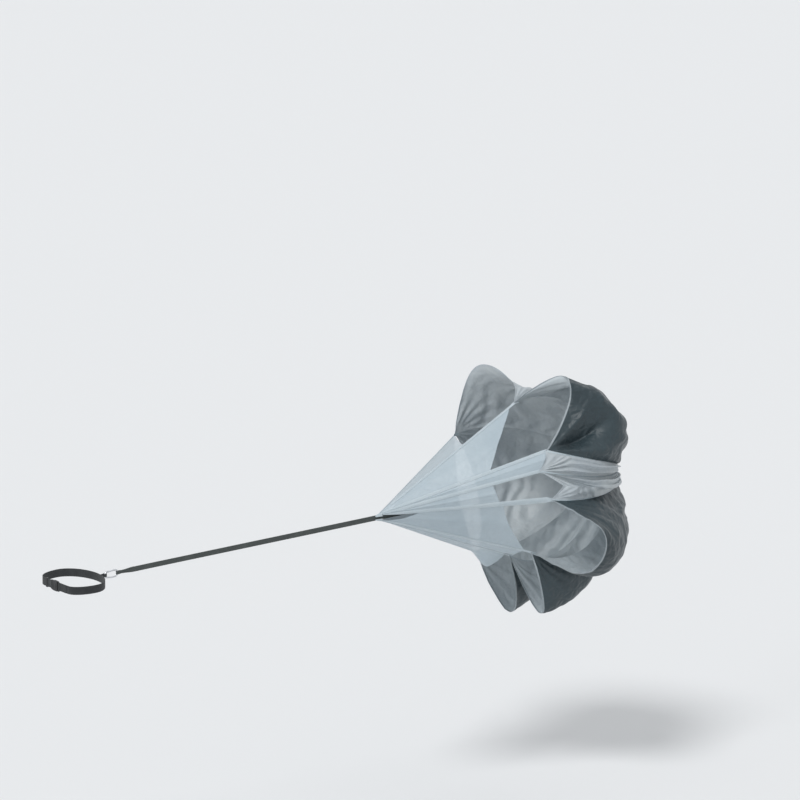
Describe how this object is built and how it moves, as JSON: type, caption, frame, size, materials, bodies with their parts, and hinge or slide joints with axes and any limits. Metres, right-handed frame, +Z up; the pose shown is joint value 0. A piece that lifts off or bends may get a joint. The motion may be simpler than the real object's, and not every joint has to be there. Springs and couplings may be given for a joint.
{
  "type": "speed parachute",
  "caption": "Running resistance parachute: waist belt with buckle, snap hook, long tow webbing and a lobed canopy held by tapes and sails.",
  "frame": {"origin": "middle of the waist belt, on its mid height, where the wearer's waist holds it", "axes": "+X back along the tow line to the canopy, +Z up, -Y the wearer's left side"},
  "size_m": [3.1514, 0.959, 1.1743],
  "materials": {
    "webbing": "matte",
    "plastic": "satin",
    "metal": "polished",
    "pale_cloth": "satin",
    "dark_cloth": "satin",
    "sail_cloth": "satin"
  },
  "bodies": {
    "belt": {"belt_webbing": "webbing", "keeper_loop": "webbing", "buckle_socket": "plastic", "buckle_plug": "plastic"},
    "slider": {"tail_slider": "plastic"},
    "arm_upper": {"buckle_arm_upper": "plastic"},
    "arm_lower": {"buckle_arm_lower": "plastic"},
    "hook": {"hook_body": "metal", "gate_pin": "metal"},
    "gate": {"hook_gate": "metal", "gate_spring": "metal"},
    "tow": {"tow_webbing": "webbing"},
    "canopy": {"tow_sewn_end": "webbing", "gather_upper": "pale_cloth", "gather_lower": "pale_cloth", "gore_top_left": "pale_cloth", "gore_top_right": "dark_cloth", "gore_right_upper": "pale_cloth", "gore_right": "pale_cloth", "gore_right_lower": "dark_cloth", "gore_bottom_right": "dark_cloth", "gore_bottom_left": "dark_cloth", "gore_far": "pale_cloth", "crown_patch": "pale_cloth", "tape_1": "pale_cloth", "tape_2": "pale_cloth", "tape_3": "pale_cloth", "tape_4": "pale_cloth", "tape_5": "pale_cloth", "tape_6": "pale_cloth", "tape_7": "pale_cloth", "tape_8": "pale_cloth", "sail_1": "sail_cloth", "sail_2": "sail_cloth", "sail_3": "sail_cloth", "sail_4": "sail_cloth", "sail_5": "sail_cloth", "sail_6": "sail_cloth", "sail_7": "sail_cloth", "sail_8": "sail_cloth"}
  },
  "joints": [
    {"name": "hook_swing", "type": "hinge", "parent": "belt", "child": "hook", "pos_m": [0.162, 0, 0], "axis": [0, 0, 1], "range_deg": [-60, 60]},
    {"name": "gate_open", "type": "hinge", "parent": "hook", "child": "gate", "pos_m": [0.17738, 0, 0.01335], "axis": [0, 1, 0], "range_deg": [0, 24], "stiffness_Nm_per_rad": 0.06, "springref_deg": -28.65},
    {"name": "tow_lift", "type": "hinge", "parent": "hook", "child": "tow", "pos_m": [0.2158, 0, 0], "axis": [0, 1, 0], "range_deg": [-20, 20]},
    {"name": "canopy_sway", "type": "hinge", "parent": "tow", "child": "canopy", "pos_m": [1.6978, 0, 0], "axis": [0, 0, 1], "range_deg": [-25, 25]},
    {"name": "arm_upper_pinch", "type": "hinge", "parent": "belt", "child": "arm_upper", "pos_m": [-0.1181, 0.0105, 0.0184], "axis": [1, 0, 0], "range_deg": [0, 18], "stiffness_Nm_per_rad": 0.05},
    {"name": "arm_lower_pinch", "type": "hinge", "parent": "belt", "child": "arm_lower", "pos_m": [-0.1181, 0.0105, -0.0184], "axis": [-1, 0, 0], "range_deg": [0, 18], "stiffness_Nm_per_rad": 0.05},
    {"name": "tail_slide", "type": "slide", "parent": "belt", "child": "slider", "axis": [0, 1, 0], "range_m": [-0.012, 0.012]}
  ],
  "couplings": [
    {"joint": "arm_lower_pinch", "follows": "arm_upper_pinch", "ratio": 1}
  ]
}
